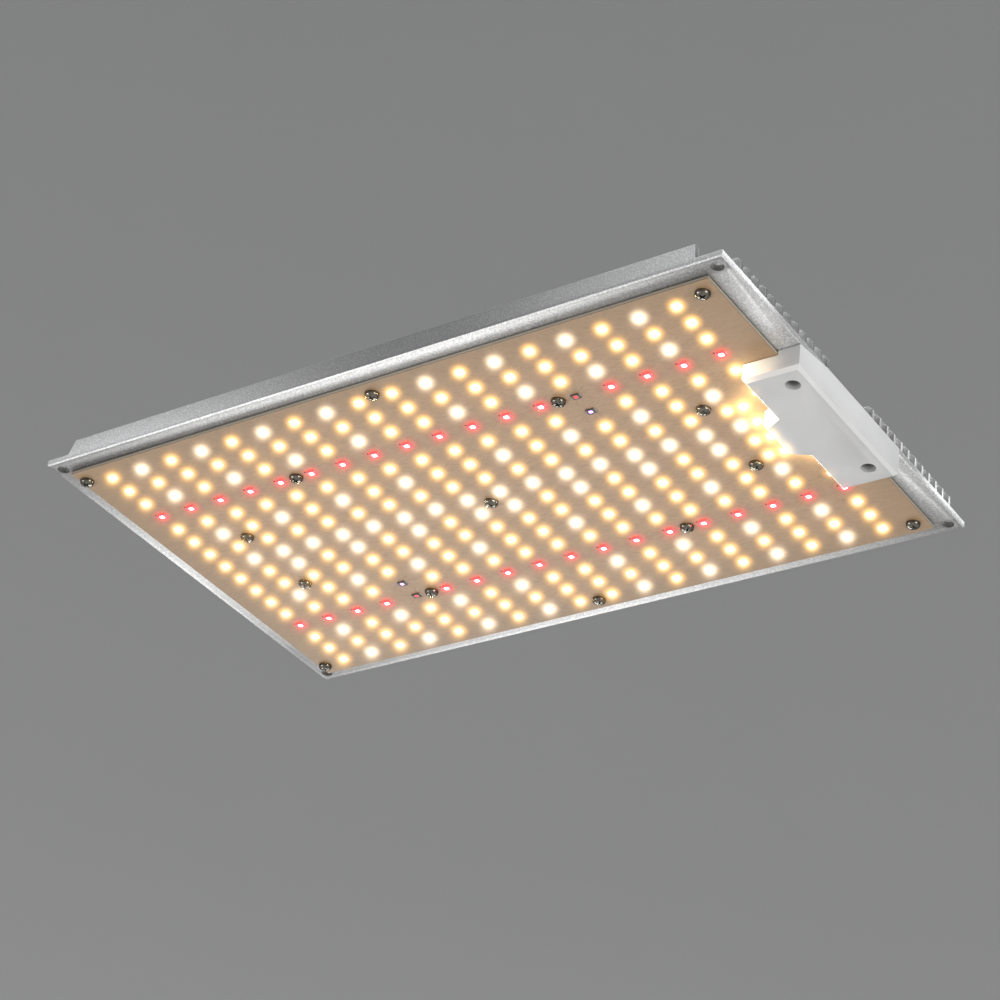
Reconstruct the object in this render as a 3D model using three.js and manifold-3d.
// LED grow light, panel type: a finned aluminium heatsink with the LED board screwed to its underside,
// a white cover over the cable entry, and a mains driver on its back.
// Millimetres. +Z is up, the LEDs face -Z. The origin is under the middle of the heatsink plate,
// level with the lowest face of the terminal cover. +X is the end that carries the cover.
// Every z below is measured from the plate's underside; the group lifts it all by PLATE_Z.
import * as THREE from "three";
import { mergeVertices } from "three/addons/utils/BufferGeometryUtils.js";
import Module from "manifold-3d";

// ---- dimensions shared between sections ----------------------------------------------------------
const PLATE_Z = 9.75; // height of the plate's underside over the origin
const PLATE_T = 2.5;

const BOARD_X0 = -144.25;
const BOARD_X1 = 142.25;
const PAD_T = 0.25;
const BOARD_T = 1.625;
const BOARD_FACE = -(PAD_T + BOARD_T); // the face that carries the LEDs
const PATTERN_X = -2.25; // middle of the LED grid and of the screw pattern

const SCREW_AT = [
  [-139, -77.2], [0, -77.2], [139, -77.2],
  [-60, -45], [60, -45],
  [-105, -19], [105, -19],
  [0, 0],
  [-105, 19], [105, 19],
  [-60, 45], [60, 45],
  [-139, 77.2], [0, 77.2], [139, 77.2],
].map(([x, y]) => [x + PATTERN_X, y]);
const M3_HEAD = { radius: 2.8, height: 1.9, shank: 1.35 };
const M4_HEAD = { radius: 3.9, height: 2.4, shank: 1.85 };
const COVER_HEAD = { ...M3_HEAD, radius: 2.6 };
const M3_BORE_R = 1.6;
const M3_CLEAR_R = 1.7;
const M4_BORE_R = 2.0;
const M4_CLEAR_R = 2.25;
const SCREW_BITE = 2.0; // how far the M3 shanks reach into the plate

const COVER_Y0 = -36.4;
const COVER_Y1 = 37.2;
const COVER_SCREW_X = 144.3;
const COVER_SCREW_Y = 27.75;
const SEAT_Z = -3.6; // where the cover screw's head sits
const LIP_X = 149.4; // inner face of the cover wall that closes the plate's edge notch
const LIP_TOP = 2.5;

const CABLE_R = 2.2;
const CABLE_X = 145.9; // where the output cable passes the plate's edge
const WIRE_R = 0.8;

const DRV_END = 160 / 2; // x of the driver's end faces
const DRV_SIDE = 62 / 2; // y of its long sides
const DRV_Z0 = 8.5;
const DRV_Z1 = 38.5;
const SHEET = 1.25;
const FOOT_X = 87.5;
const FOOT_Y = 9;
const GLAND_Z = 24;
const STANDOFF_H = 5.5;
const DRV_BOARD_Z0 = DRV_Z0 + STANDOFF_H;
const DRV_BOARD_Z1 = DRV_BOARD_Z0 + 1.5;

const SIDES = [-1, 1];
const CORNERS = SIDES.flatMap((end) => SIDES.map((side) => [end, side]));
const OVER = 1; // how far a cutting tool runs past the surface it cuts

// ---- helpers -------------------------------------------------------------------------------------
const wasm = await Module();
wasm.setup();

function solid(geometry) {
  const bare = geometry.index ? geometry.toNonIndexed() : geometry.clone();
  bare.deleteAttribute("normal");
  bare.deleteAttribute("uv");
  const merged = mergeVertices(bare, 1e-4);
  return new wasm.Manifold(
    new wasm.Mesh({
      numProp: 3,
      vertProperties: new Float32Array(merged.attributes.position.array),
      triVerts: new Uint32Array(merged.index.array),
    }),
  );
}

function geometryOf(manifold) {
  const mesh = manifold.getMesh();
  const indexed = new THREE.BufferGeometry();
  indexed.setAttribute("position", new THREE.BufferAttribute(new Float32Array(mesh.vertProperties), 3));
  indexed.setIndex(new THREE.BufferAttribute(new Uint32Array(mesh.triVerts), 1));
  const flat = indexed.toNonIndexed();
  flat.computeVertexNormals();
  return flat;
}

// cut and fuse take a manifold and geometries; minus goes from geometry to geometry.
const cut = (body, ...tools) => tools.reduce((rest, tool) => rest.subtract(solid(tool)), body);
const fuse = (body, ...parts) => parts.reduce((whole, part) => whole.add(solid(part)), body);
const minus = (body, ...tools) => geometryOf(cut(solid(body), ...tools));

// The two bounds on each axis may come in either order.
const box = (x0, x1, y0, y1, z0, z1) =>
  new THREE.BoxGeometry(Math.abs(x1 - x0), Math.abs(y1 - y0), Math.abs(z1 - z0))
    .translate((x0 + x1) / 2, (y0 + y1) / 2, (z0 + z1) / 2);

const rod = (radius, x, y, z0, z1, sides) =>
  new THREE.CylinderGeometry(radius, radius, z1 - z0, sides)
    .rotateX(Math.PI / 2)
    .translate(x, y, (z0 + z1) / 2);

const rodX = (radius, x0, x1, y, z, sides) =>
  new THREE.CylinderGeometry(radius, radius, x1 - x0, sides)
    .rotateZ(Math.PI / 2)
    .translate((x0 + x1) / 2, y, z);

const vectors = (points) => points.map(([x, y]) => new THREE.Vector2(x, y));
const lathe = (profile, sides) => new THREE.LatheGeometry(vectors(profile), sides);
const extrude = (points, options) =>
  new THREE.ExtrudeGeometry(new THREE.Shape(vectors(points)), { bevelEnabled: false, ...options });

// A polygon in the YZ plane, pushed along X from x0 to x1.
const YZ_TO_WORLD = new THREE.Matrix4().set(0, 0, 1, 0, 1, 0, 0, 0, 0, 1, 0, 0, 0, 0, 0, 1);
const prismX = (points, x0, x1) =>
  extrude(points, { depth: x1 - x0 }).applyMatrix4(YZ_TO_WORLD).translate(x0, 0, 0);

// A polygon in the XZ plane, pushed along Y from y0 to y1.
const XZ_TO_WORLD = new THREE.Matrix4().set(1, 0, 0, 0, 0, 0, -1, 0, 0, 1, 0, 0, 0, 0, 0, 1);
const prismY = (points, y0, y1) =>
  extrude(points, { depth: y1 - y0 }).applyMatrix4(XZ_TO_WORLD).translate(0, y1, 0);

// A polygon in the XY plane, pushed up from z0 to z1, with bevelled rims if asked.
function prismZ(points, z0, z1, bevel = 0) {
  const rims = bevel && {
    bevelEnabled: true,
    bevelThickness: bevel,
    bevelSize: bevel,
    bevelOffset: -bevel,
    bevelSegments: 1,
  };
  return extrude(points, { depth: z1 - z0 - 2 * bevel, ...rims }).translate(0, 0, z0 + bevel);
}

// Points of a plane arc; the angles are in degrees.
function arc(centreX, centreY, radius, from, to, steps) {
  return Array.from({ length: steps + 1 }, (_, i) => {
    const angle = THREE.MathUtils.degToRad(from + ((to - from) * i) / steps);
    return [centreX + radius * Math.cos(angle), centreY + radius * Math.sin(angle)];
  });
}

// A polygon drawn for the +X end, mirrored if it is wanted at the -X end.
const atEnd = (end, points) => (end > 0 ? points : points.map(([x, y]) => [-x, y]).reverse());

function tube(points, radius, steps, sides) {
  const stations = points.map((point) => new THREE.Vector3(...point));
  const extrudePath = new THREE.CatmullRomCurve3(stations, false, "centripetal");
  const circle = arc(0, 0, radius, 0, 360, sides).slice(0, -1);
  return extrude(circle, { extrudePath, steps });
}

const root = new THREE.Group();
const group = new THREE.Group();
group.position.z = PLATE_Z;
root.add(group);

// [colour, roughness, metalness]
const MATERIALS = {
  aluminium: [0xc9cacb, 0.42, 0.9],
  board: [0xa8977f, 0.55, 0.05],
  pad: [0xd8d8d2, 0.9, 0],
  steel: [0xb8b8b4, 0.25, 1],
  cover: [0xd9d9d9, 0.55, 0],
  black_case: [0x17181a, 0.5, 0.4],
  rubber: [0x101010, 0.75, 0],
  red: [0x9c1a16, 0.5, 0],
  brown: [0x5a3018, 0.5, 0],
  blue: [0x2a4f9a, 0.5, 0],
  green: [0x5a8a2a, 0.5, 0],
  fr4: [0x2f6a3a, 0.5, 0],
  ferrite: [0x2b2c2e, 0.6, 0.1],
  copper: [0xb8683a, 0.4, 0.6],
  tape: [0xd8a531, 0.5, 0],
  capacitor: [0x22283a, 0.4, 0],
  brass: [0xc2a35a, 0.3, 1],
  foil: [0xc4c6c8, 0.35, 0.8],
};

function add(name, geometry, material) {
  const [color, roughness, metalness] = MATERIALS[material];
  const look = new THREE.MeshStandardMaterial({ color, roughness, metalness });
  const mesh = new THREE.Mesh(geometry, look);
  mesh.name = name;
  group.add(mesh);
  return mesh;
}

// ---- heatsink: an extrusion, machined at its ends ------------------------------------------------
const PLATE_END = 302.8 / 2;
const PLATE_SIDE = 180 / 2;
const FIN_TOP = 8.5;
const FIN_ROOT = 1.4;
const FIN_TIP = 1.0;
const FIN_FIRST = 16.75; // first fin from the middle
const FIN_PITCH = 5.5;
const FIN_COUNT = 12; // on each side of the middle channel
const WALL_T = 2.5; // outer wall along each long side
// |x| where the outer wall stops, to leave the corner holes free, at each end
const WALL_END = { plus: { foot: 140.9, top: 140.3 }, minus: { foot: 141.0, top: 138.5 } };
const FIN_BEVEL_X = 1.9; // bevel on the fins' top end corners
const FIN_BEVEL_Z = 2.2;
const FIN_BEVEL_Y = 82; // it runs this far to each side
const EDGE = 0.5; // bevel round the plate's lower edge
const HANG = { x: 147, y: 85.3, radius: 2.3 }; // corner holes
const BORE_TOP = 2.25; // blind end of the M3 bores
const FOOT_BORE_Z = 0.5; // blind end of the driver's M4 bores
const STEP = { gap: 0.3, topGap: 0.2, slopeY: -17.2, lowZ: 0.3 }; // step for the cover's lip
const SLOT_R = 3.1;

// Section of the extrusion as [y, z].
function heatsinkSection() {
  const wallInner = PLATE_SIDE - WALL_T;
  const fins = Array.from({ length: FIN_COUNT }, (_, i) => FIN_FIRST + i * FIN_PITCH);
  const finPoints = [...fins.toReversed(), ...fins.map((y) => -y)].flatMap((y) => [
    [y + FIN_ROOT / 2, PLATE_T], [y + FIN_TIP / 2, FIN_TOP],
    [y - FIN_TIP / 2, FIN_TOP], [y - FIN_ROOT / 2, PLATE_T],
  ]);
  return [
    [-PLATE_SIDE + EDGE, 0], [PLATE_SIDE - EDGE, 0], [PLATE_SIDE, EDGE], [PLATE_SIDE, FIN_TOP],
    [wallInner, FIN_TOP], [wallInner, PLATE_T],
    ...finPoints,
    [-wallInner, PLATE_T], [-wallInner, FIN_TOP], [-PLATE_SIDE, FIN_TOP], [-PLATE_SIDE, EDGE],
  ];
}

function endCuts(end) {
  const past = PLATE_END + OVER;
  const above = FIN_TOP + OVER;
  const slope = FIN_BEVEL_Z / FIN_BEVEL_X;
  const finBevel = [
    [PLATE_END - FIN_BEVEL_X - 1, FIN_TOP + slope],
    [PLATE_END + 1, FIN_TOP - FIN_BEVEL_Z - slope],
    [PLATE_END + 1, above + slope],
    [PLATE_END - FIN_BEVEL_X - 1, above + slope],
  ];
  const lowerEdge = [[PLATE_END - EDGE - 1, -1], [PLATE_END + 1, EDGE + 1], [PLATE_END + 1, -1]];
  const { foot, top } = end > 0 ? WALL_END.plus : WALL_END.minus;
  const topPast = top - ((foot - top) * OVER) / (FIN_TOP - PLATE_T);
  const wallNotch = [[foot, PLATE_T], [past, PLATE_T], [past, above], [topPast, above]];
  const notchY = [PLATE_SIDE - WALL_T - OVER, PLATE_SIDE + OVER];
  return [
    prismY(atEnd(end, finBevel), -FIN_BEVEL_Y, FIN_BEVEL_Y),
    prismY(atEnd(end, lowerEdge), -PLATE_SIDE - OVER, PLATE_SIDE + OVER),
    prismY(atEnd(end, wallNotch), notchY[0], notchY[1]),
    prismY(atEnd(end, wallNotch), -notchY[1], -notchY[0]),
    ...SIDES.map((side) => rod(HANG.radius, end * HANG.x, side * HANG.y, -OVER, PLATE_T + OVER, 20)),
  ];
}

function heatsink() {
  const m3Bores = [...SCREW_AT, ...SIDES.map((side) => [COVER_SCREW_X, side * COVER_SCREW_Y])];
  const lipStep = [
    [COVER_Y0 - STEP.gap, -OVER], [COVER_Y1 + STEP.gap, -OVER],
    [COVER_Y1 + STEP.gap, LIP_TOP + STEP.topGap], [STEP.slopeY, LIP_TOP + STEP.topGap],
    [COVER_Y0 - STEP.gap, STEP.lowZ],
  ];
  return minus(
    prismX(heatsinkSection(), -PLATE_END, PLATE_END),
    ...SIDES.flatMap(endCuts),
    ...m3Bores.map(([x, y]) => rod(M3_BORE_R, x, y, -OVER, BORE_TOP, 8)),
    ...CORNERS.map(([end, side]) =>
      rod(M4_BORE_R, end * FOOT_X, side * FOOT_Y, FOOT_BORE_Z, PLATE_T + OVER, 8)),
    prismX(lipStep, LIP_X - STEP.gap, PLATE_END + OVER),
    // cable slot behind the step
    rod(SLOT_R, CABLE_X, 0, -OVER, PLATE_T + OVER, 16),
    box(CABLE_X, LIP_X, -SLOT_R, SLOT_R, -OVER, PLATE_T + OVER),
  );
}
add("heatsink", heatsink(), "aluminium");

// ---- thermal pad and LED board -------------------------------------------------------------------
const BOARD_Y = 83.25;
const PAD_INSET = 1;
const PAD_HOLE_R = 2.0;
const LED = { length: 3.5, width: 2.8, height: 0.6875, sunk: 0.5 };
const LED_COLS = 18;
const LED_ROWS = 16;
const LED_DX = 15;
const LED_DY = 10;
// the cover's bulge displaces these rows of the last column
const LED_ROWS_OUT = { first: 5, last: 10 };
const LED_MOVED = [
  [116.8, -15], [116.8, -5], [116.8, 5], [116.8, 15], [125.25, -20.4], [125.25, 20.4],
];

function thermalPad() {
  const edgeY = BOARD_Y - PAD_INSET;
  return minus(
    box(BOARD_X0 + PAD_INSET, BOARD_X1 - PAD_INSET, -edgeY, edgeY, -PAD_T, 0),
    ...SCREW_AT.map(([x, y]) => rod(PAD_HOLE_R, x, y, -OVER, OVER, 8)),
  );
}

function ledPlaces() {
  const places = [...LED_MOVED];
  for (let i = 0; i < LED_COLS; i++) {
    for (let j = 0; j < LED_ROWS; j++) {
      const inGap = j >= LED_ROWS_OUT.first && j <= LED_ROWS_OUT.last;
      if (i === LED_COLS - 1 && inGap) continue;
      places.push([PATTERN_X + (i - (LED_COLS - 1) / 2) * LED_DX, (j - (LED_ROWS - 1) / 2) * LED_DY]);
    }
  }
  return places;
}

function ledBoard() {
  const board = cut(
    solid(box(BOARD_X0, BOARD_X1, -BOARD_Y, BOARD_Y, BOARD_FACE, -PAD_T)),
    ...SCREW_AT.map(([x, y]) => rod(M3_CLEAR_R, x, y, BOARD_FACE - OVER, OVER, 8)),
  );
  const halfL = LED.length / 2;
  const halfW = LED.width / 2;
  const [low, high] = [BOARD_FACE - LED.height, BOARD_FACE + LED.sunk];
  const leds = ledPlaces().map(([x, y]) =>
    solid(box(x - halfL, x + halfL, y - halfW, y + halfW, low, high)));
  return geometryOf(wasm.Manifold.union([board, ...leds]));
}
add("thermal_pad", thermalPad(), "pad");
add("led_board", ledBoard(), "board");

// ---- screws --------------------------------------------------------------------------------------
// Pan head with a cross recess. The head's seat is at z = 0, the head goes down, the shank goes up.
function panScrew({ radius, height, shank }, length) {
  const profile = [
    [0, -height], [radius * 0.6, -height], [radius, -height * 0.45], [radius, 0],
    [shank, 0], [shank, length], [0, length],
  ];
  const long = radius * 0.56;
  const thin = radius * 0.14;
  const [low, floor] = [-height - OVER, -height * 0.45];
  return minus(
    lathe(profile, 8).rotateX(Math.PI / 2),
    box(-long, long, -thin, thin, low, floor),
    box(-thin, thin, -long, long, low, floor),
  );
}

const boardScrew = panScrew(M3_HEAD, -BOARD_FACE + SCREW_BITE);
SCREW_AT.forEach(([x, y], i) => {
  const name = `board_screw_${String(i + 1).padStart(2, "0")}`;
  add(name, boardScrew, "steel").position.set(x, y, BOARD_FACE);
});
const coverScrew = panScrew(COVER_HEAD, -SEAT_Z + SCREW_BITE);
SIDES.forEach((side, i) => {
  const screw = add(`cover_screw_${i + 1}`, coverScrew, "steel");
  screw.position.set(COVER_SCREW_X, side * COVER_SCREW_Y, SEAT_Z);
});

// ---- terminal cover ------------------------------------------------------------------------------
const COVER_X0 = 128.8;
const COVER_X1 = 151.4;
const COVER_LOW = -PLATE_Z;
const COVER_BEVEL = 1.4;
const COVER_WALL = 1.8;
const COVER_FLOOR = 2;
const BULGE_X = 122;
const BULGE_MID = (COVER_Y0 + COVER_Y1) / 2;
const BULGE_HALF = 9.3;
const BULGE_ROOT = 13;
const PILLAR = { radius: 3.7, sunk: 1.2, top: -0.25 }; // screw pillars, rooted in the floor
const RECESS_R = 2.8;
const BOARD_GAP = { x: 0.35, z: 0.2 };
const LIP_SLOPE = { y: -17, endZ: -0.126 }; // starts at y, reaches endZ past the -Y end

// Outline as [x, y], moved inwards by inset; the bulge's corners move less in y.
function coverOutline(inset) {
  const left = COVER_X0 + inset;
  const right = COVER_X1 - inset;
  const root = BULGE_ROOT - inset * 0.6;
  const half = BULGE_HALF - inset * 0.6;
  return [
    [right, COVER_Y0 + inset], [right, COVER_Y1 - inset], [left, COVER_Y1 - inset],
    [left, BULGE_MID + root], [BULGE_X + inset, BULGE_MID + half],
    [BULGE_X + inset, BULGE_MID - half], [left, BULGE_MID - root],
    [left, COVER_Y0 + inset],
  ];
}

function terminalCover() {
  const above = 10; // clear of the whole cover
  const slab = (x0, x1, z0) => box(x0, x1, COVER_Y0 - OVER, COVER_Y1 + OVER, z0, above);
  const pillar = (radius, z0, z1, sides) =>
    SIDES.map((side) => rod(radius, COVER_SCREW_X, side * COVER_SCREW_Y, z0, z1, sides));
  const lipSlope = [
    [COVER_Y0 - OVER, LIP_SLOPE.endZ], [LIP_SLOPE.y, LIP_TOP],
    [LIP_SLOPE.y, above], [COVER_Y0 - OVER, above],
  ];
  const shell = cut(
    solid(prismZ(coverOutline(0), COVER_LOW, LIP_TOP + 4, COVER_BEVEL)),
    slab(BULGE_X - OVER, COVER_X1 + OVER, LIP_TOP), // takes the upper bevel off
    prismZ(coverOutline(COVER_WALL), COVER_LOW + COVER_FLOOR, above),
  );
  return geometryOf(cut(
    fuse(shell, ...pillar(PILLAR.radius, COVER_LOW + PILLAR.sunk, PILLAR.top, 16)),
    // clears the board on one side and the plate on the other
    slab(BULGE_X - OVER, BOARD_X1 + BOARD_GAP.x, BOARD_FACE - BOARD_GAP.z),
    slab(BOARD_X1, LIP_X, PILLAR.top),
    // the lip's top edge slopes away at the -Y end
    prismX(lipSlope, LIP_X - OVER, COVER_X1 + OVER),
    ...pillar(RECESS_R, COVER_LOW - OVER, SEAT_Z, 24),
    ...pillar(M3_BORE_R, SEAT_Z - OVER, OVER, 12),
  ));
}
add("terminal_cover", terminalCover(), "cover");

// ---- output cable, its cores, grommet and the board's terminal block -----------------------------
const ENTRY = { y: 3, z: BOARD_FACE - 2.8 }; // where the cores enter the block
const UPPER_BEND = 4.6;
const LOWER_BEND = 5.2;
// [x, z] of the cable's axis, from inside the driver to the cover
const DC_PATH = [
  [72, GLAND_Z], [80, GLAND_Z], [88, GLAND_Z], [92.5, GLAND_Z],
  [101, 20.5], [109, 11.5], [118, 6.0], [128, 5.0], [135, 6.4],
  ...arc(CABLE_X - UPPER_BEND, 3.2, UPPER_BEND, 90, 0, 5),
  [CABLE_X, 1.5],
  ...arc(CABLE_X - LOWER_BEND, 0, LOWER_BEND, 0, -90, 5),
  [139.6, -LOWER_BEND],
];
// [radius, z]
const GROMMET_PROFILE = [
  [2.35, -0.7], [3.3, -0.7], [3.3, 0], [2.95, 0], [2.95, PLATE_T],
  [3.9, PLATE_T], [3.9, PLATE_T + 0.7], [2.35, PLATE_T + 0.7], [2.35, -0.7],
];

function boardTerminal() {
  return minus(
    box(126, 136, -6, 6, BOARD_FACE - 5, BOARD_FACE),
    ...SIDES.map((side) => rodX(1.25, 131, 137, side * ENTRY.y, ENTRY.z, 10)),
    ...SIDES.map((side) => rod(1.3, 128.5, side * ENTRY.y, BOARD_FACE - 6, BOARD_FACE - 4, 10)),
  );
}

const cable = (path, steps) => tube(path.map(([x, z]) => [x, 0, z]), CABLE_R, steps, 8);

const dcWire = (side) => tube([
  [139.3, side * 1.05, -LOWER_BEND],
  [138, side * 1.5, -LOWER_BEND + 0.1],
  [136.6, side * 2.8, ENTRY.z],
  [132.2, side * ENTRY.y, ENTRY.z],
], WIRE_R, 8, 6);

// The grommet is cut flat where the cover's lip passes.
const cableGrommet = () => minus(
  lathe(GROMMET_PROFILE, 14).rotateX(Math.PI / 2).translate(CABLE_X, 0, 0),
  box(LIP_X - 0.35, LIP_X + 3, -6, 6, -3, 6),
);
add("board_terminal", boardTerminal(), "cover");
add("dc_cable", cable(DC_PATH, 36), "rubber");
add("dc_wire_pos", dcWire(-1), "red");
add("dc_wire_neg", dcWire(1), "rubber");
add("cable_grommet", cableGrommet(), "rubber");

// ---- driver case ---------------------------------------------------------------------------------
const EAR = { reach: 14, half: 14, corner: 4, overlap: 2 };
const LID_SCREW_X = 71;
const LID_SCREW_Y = 24;
const TRAY_RIM = DRV_Z1 - SHEET - 0.25;
const TAB = { halfX: 5, depth: 11 }; // bent tabs that take the lid screws
const STANDOFF = { x: 68, y: 21, radius: 2.6 };
const VENT = { first: 12, pitch: 14, count: 3, half: 4.5, low: 14, high: 16 };
const LID_GAP = 0.3;
const GLAND_HOLE_R = 5.2;
const LABEL = { length: 92, width: 36, corner: 2, thickness: 0.15 }; // blank rating foil
const SPACER_R = 4;
const CONTACT_GAP = 0.02; // keeps the screw heads and the foil off the sheet

function ear(end) {
  const { reach, half, corner, overlap } = EAR;
  const cornerX = DRV_END + reach - corner;
  const outline = [
    [DRV_END - overlap, -half],
    ...arc(cornerX, corner - half, corner, -90, 0, 3),
    ...arc(cornerX, half - corner, corner, 0, 90, 3),
    [DRV_END - overlap, half],
  ];
  return prismZ(atEnd(end, outline), DRV_Z0, DRV_Z0 + SHEET);
}

function vents(end, side) {
  return Array.from({ length: VENT.count }, (_, i) => {
    const x = end * (VENT.first + i * VENT.pitch);
    const [inner, outer] = [side * (DRV_SIDE - 3), side * (DRV_SIDE + OVER)];
    return box(x - VENT.half, x + VENT.half, inner, outer, DRV_Z0 + VENT.low, DRV_Z0 + VENT.high);
  });
}

function driverTray() {
  const parts = [
    ...SIDES.map(ear),
    ...SIDES.map((side) =>
      box(-DRV_END, DRV_END, side * (DRV_SIDE - SHEET), side * DRV_SIDE, DRV_Z0, TRAY_RIM)),
  ];
  const cuts = [];
  for (const [end, side] of CORNERS) {
    const x = end * LID_SCREW_X;
    const tabY = side * (DRV_SIDE - TAB.depth);
    const tabLow = TRAY_RIM - SHEET;
    parts.push(
      box(x - TAB.halfX, x + TAB.halfX, tabY, side * DRV_SIDE, tabLow, TRAY_RIM),
      rod(STANDOFF.radius, end * STANDOFF.x, side * STANDOFF.y, DRV_Z0, DRV_BOARD_Z0, 10),
    );
    cuts.push(
      rod(M4_CLEAR_R, end * FOOT_X, side * FOOT_Y, DRV_Z0 - OVER, DRV_Z0 + SHEET + OVER, 12),
      rod(M3_BORE_R, x, side * LID_SCREW_Y, tabLow - OVER, DRV_Z1, 8),
      ...vents(end, side),
    );
  }
  const base = box(-DRV_END, DRV_END, -DRV_SIDE, DRV_SIDE, DRV_Z0, DRV_Z0 + SHEET);
  return geometryOf(cut(fuse(solid(base), ...parts), ...cuts));
}

function driverLid() {
  const edgeY = DRV_SIDE - SHEET - LID_GAP;
  const low = DRV_Z0 + SHEET + LID_GAP;
  const top = box(-DRV_END, DRV_END, -DRV_SIDE, DRV_SIDE, DRV_Z1 - SHEET, DRV_Z1);
  const endWalls = SIDES.map((end) =>
    box(end * (DRV_END - SHEET), end * DRV_END, -edgeY, edgeY, low, DRV_Z1));
  return geometryOf(cut(
    fuse(solid(top), ...endWalls),
    ...SIDES.map((end) =>
      rodX(GLAND_HOLE_R, end * DRV_END - 3, end * DRV_END + 3, 0, GLAND_Z, 16)),
    ...CORNERS.map(([end, side]) => rod(
      M3_CLEAR_R, end * LID_SCREW_X, side * LID_SCREW_Y, DRV_Z1 - SHEET - OVER, DRV_Z1 + OVER, 12)),
  ));
}

function driverLabel() {
  const { length, width, corner, thickness } = LABEL;
  const quadrants = [[1, 1], [-1, 1], [-1, -1], [1, -1]];
  const outline = quadrants.flatMap(([signX, signY], i) => {
    const x = signX * (length / 2 - corner);
    const y = signY * (width / 2 - corner);
    return arc(x, y, corner, 90 * i, 90 * (i + 1), 3);
  });
  const low = DRV_Z1 + CONTACT_GAP;
  return prismZ(outline, low, low + thickness);
}

const driverSpacer = (x, y) => minus(
  rod(SPACER_R, x, y, PLATE_T, DRV_Z0, 14),
  rod(M4_CLEAR_R, x, y, PLATE_T - OVER, DRV_Z0 + OVER, 12),
);

// Adds a screw turned over, so that its head is on top.
function addScrewDown(name, geometry, x, y, seat) {
  const screw = add(name, geometry, "steel");
  screw.rotation.x = Math.PI;
  screw.position.set(x, y, seat + CONTACT_GAP);
}

add("driver_tray", driverTray(), "black_case");
add("driver_lid", driverLid(), "black_case");
add("driver_label", driverLabel(), "foil");
const lidScrew = panScrew(M3_HEAD, 5.5);
const footScrew = panScrew(M4_HEAD, 8.9);
CORNERS.forEach(([end, side], i) => {
  const [x, y] = [end * FOOT_X, side * FOOT_Y];
  const lidAt = [end * LID_SCREW_X, side * LID_SCREW_Y, DRV_Z1];
  addScrewDown(`driver_lid_screw_${i + 1}`, lidScrew, ...lidAt);
  addScrewDown(`driver_foot_screw_${i + 1}`, footScrew, x, y, DRV_Z0 + SHEET);
  add(`driver_spacer_${i + 1}`, driverSpacer(x, y), "aluminium");
});

// ---- inside the driver: parts stand on the board's top face --------------------------------------
const TRANSFORMER = { x: 6, z: DRV_BOARD_Z1 + 9.25 };
const CHOKE = { ring: 6.2, tube: 2.8 };

function aroundTransformer(x0, x1, halfY, halfZ) {
  const { x, z } = TRANSFORMER;
  return box(x + x0, x + x1, -halfY, halfY, z - halfZ, z + halfZ);
}
const transformerCore = () => minus(
  aroundTransformer(-14, 14, 7, 9),
  ...SIDES.map((side) => aroundTransformer(side * 4.5, side * 10, 8, 5.5)), // windows
);
const transformerWinding = () =>
  minus(aroundTransformer(-9.5, 9.5, 11, 5.2), aroundTransformer(-4.8, 4.8, 7.3, 8));

const upright = (radius, x, y, height, sides) =>
  rod(radius, x, y, DRV_BOARD_Z1, DRV_BOARD_Z1 + height, sides);

const filterChoke = () => new THREE.TorusGeometry(CHOKE.ring, CHOKE.tube, 8, 14)
  .translate(-56, 9, DRV_BOARD_Z1 + CHOKE.tube);

function powerTransistor() {
  const body = box(26, 30.5, -22, -12, DRV_BOARD_Z1, DRV_BOARD_Z1 + 15);
  const tab = box(25, 26.5, -22, -12, DRV_BOARD_Z1 + 4, DRV_BOARD_Z1 + 20);
  return geometryOf(fuse(solid(body), tab));
}
add("driver_board", box(-73, 73, -26, 26, DRV_BOARD_Z0, DRV_BOARD_Z1), "fr4");
add("transformer_core", transformerCore(), "ferrite");
add("transformer_winding", transformerWinding(), "tape");
add("input_capacitor", upright(9, -34, -8, 18, 20), "capacitor");
add("output_capacitor", upright(5, 40, 10, 16, 16), "capacitor");
add("filter_choke", filterChoke(), "copper");
add("power_transistor", powerTransistor(), "ferrite");

// ---- glands, mains lead and the cores inside the driver ------------------------------------------
const CONNECTOR_Z = 10.8;
// [radius, distance outwards from the middle of the lid's end wall]
const GLAND_PROFILE = [
  [2.4, -6], [6.6, -6], [6.6, -1.6], [4.9, -1.6], [4.9, 1.6], [7.4, 1.6],
  [7.4, 5.2], [5.6, 8.5], [3.8, 12], [2.4, 12], [2.4, -6],
];
// [x, z] of the lead's axis, from inside the driver to the connector
const AC_PATH = [
  [-72, GLAND_Z], [-80, GLAND_Z], [-88, GLAND_Z], [-92.5, GLAND_Z],
  [-100, 20.5], [-106.5, 14], [-112, 11], [-115, CONNECTOR_Z], [-121, CONNECTOR_Z],
];
const CORE_LIFT = 0.6; // a core's end over the face it lands on
const CORE_Z = DRV_BOARD_Z1 + CORE_LIFT;
const outputCore = (side) => [
  [71.2, side * 1.05, GLAND_Z], [69.6, side * 1.2, GLAND_Z], [66, side * 5, 20.5],
  [64, side * 7, 18], [63.5, side * 7, CORE_Z],
];
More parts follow.
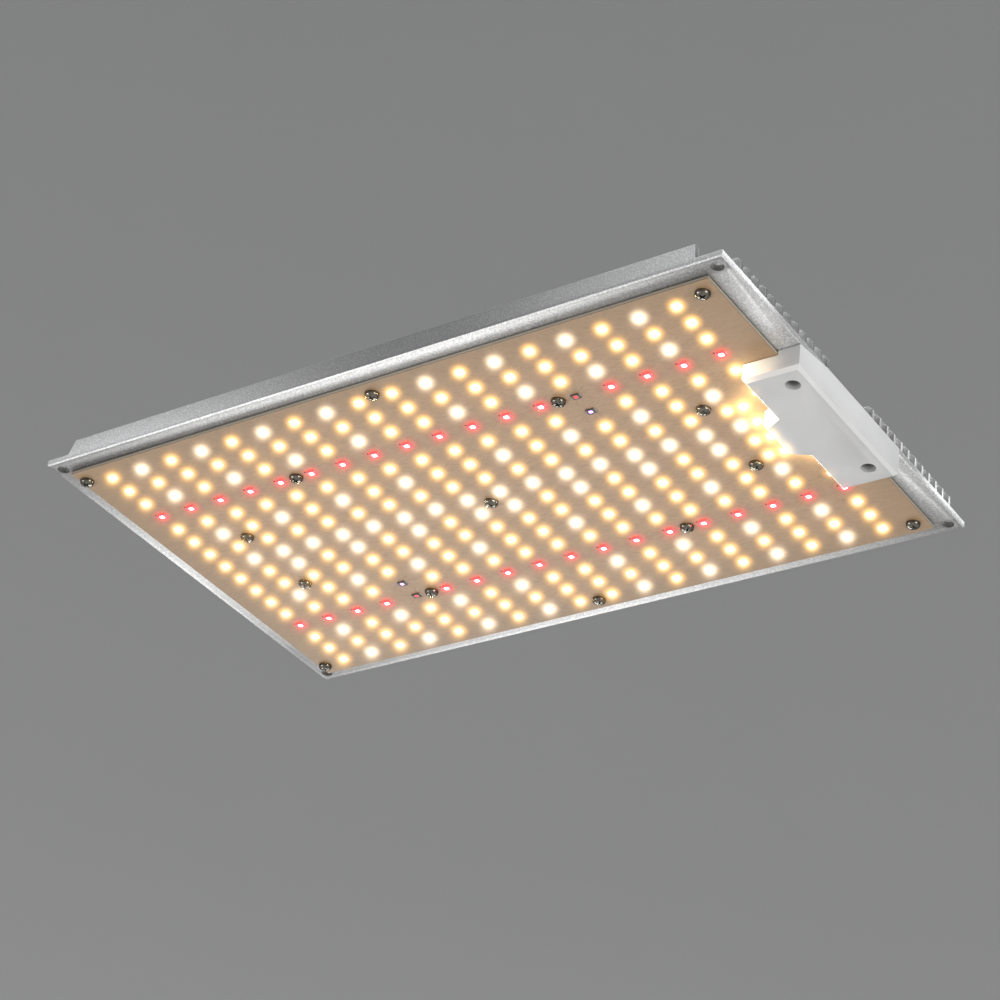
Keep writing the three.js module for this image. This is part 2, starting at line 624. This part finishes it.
// [name, material, [x, y, z] stations]; the earth goes to the tray, the others to the board
const CORES = [
  ["output_core_pos", "red", outputCore(-1)],
  ["output_core_neg", "rubber", outputCore(1)],
  ["mains_core_live", "brown", [
    [-71.2, -1.3, GLAND_Z - 0.6], [-69.6, -1.5, 23], [-67.5, -6, 20], [-66.5, -9, 18],
    [-66, -9, CORE_Z],
  ]],
  ["mains_core_neutral", "blue", [
    [-71.2, 1.3, GLAND_Z - 0.6], [-69.6, 1.5, 23], [-68, 2.5, 20], [-67.5, 3, 18],
    [-67.5, 3, CORE_Z],
  ]],
  ["mains_core_earth", "green", [
    [-71.2, 0, GLAND_Z + 1.4], [-70, 3, 25.2], [-71, 10, 24], [-75.2, 15, 18],
    [-75.6, 15.5, DRV_Z0 + SHEET + CORE_LIFT],
  ]],
];

function addGland(name, end) {
  const gland = add(name, lathe(GLAND_PROFILE, 14).rotateZ((-end * Math.PI) / 2), "rubber");
  gland.position.set(end * (DRV_END - SHEET / 2), 0, GLAND_Z);
}
addGland("dc_gland", 1);
addGland("ac_gland", -1);
add("ac_lead", cable(AC_PATH, 20), "rubber");
for (const [name, material, stations] of CORES) add(name, tube(stations, WIRE_R, 7, 6), material);

// ---- moulded in-line connector, open towards -X --------------------------------------------------
const PINS = [[0, 2.6], [-4.6, -1.6], [4.6, -1.6]].map(([y, z]) => [y, z + CONNECTOR_Z]); // [y, z]

// Six-sided section, narrower at the top.
const connectorSection = (halfH, halfW) => [
  [-halfW, -halfH], [halfW, -halfH], [halfW, halfH * 0.45],
  [halfW * 0.62, halfH], [-halfW * 0.62, halfH], [-halfW, halfH * 0.45],
].map(([y, z]) => [y, z + CONNECTOR_Z]);

const pinBlock = ([y, z], x0, x1, halfY, halfZ) =>
  box(x0, x1, y - halfY, y + halfY, z - halfZ, z + halfZ);

function acConnector() {
  const body = solid(prismX(connectorSection(7.6, 10.6), -146, -124));
  return geometryOf(cut(
    fuse(body, rodX(4.4, -125, -114, 0, CONNECTOR_Z, 14)),
    prismX(connectorSection(5.6, 8.8), -147, -132),
    rodX(CABLE_R + 0.1, -121.4, -110, 0, CONNECTOR_Z, 12),
    ...PINS.map((pin) => pinBlock(pin, -133, -128, 1.0, 2.0)),
  ));
}
PINS.forEach((pin, i) => {
  add(`connector_pin_${i + 1}`, pinBlock(pin, -142, -128.2, 0.8, 1.8), "brass");
});
add("ac_connector", acConnector(), "rubber");

export default root;
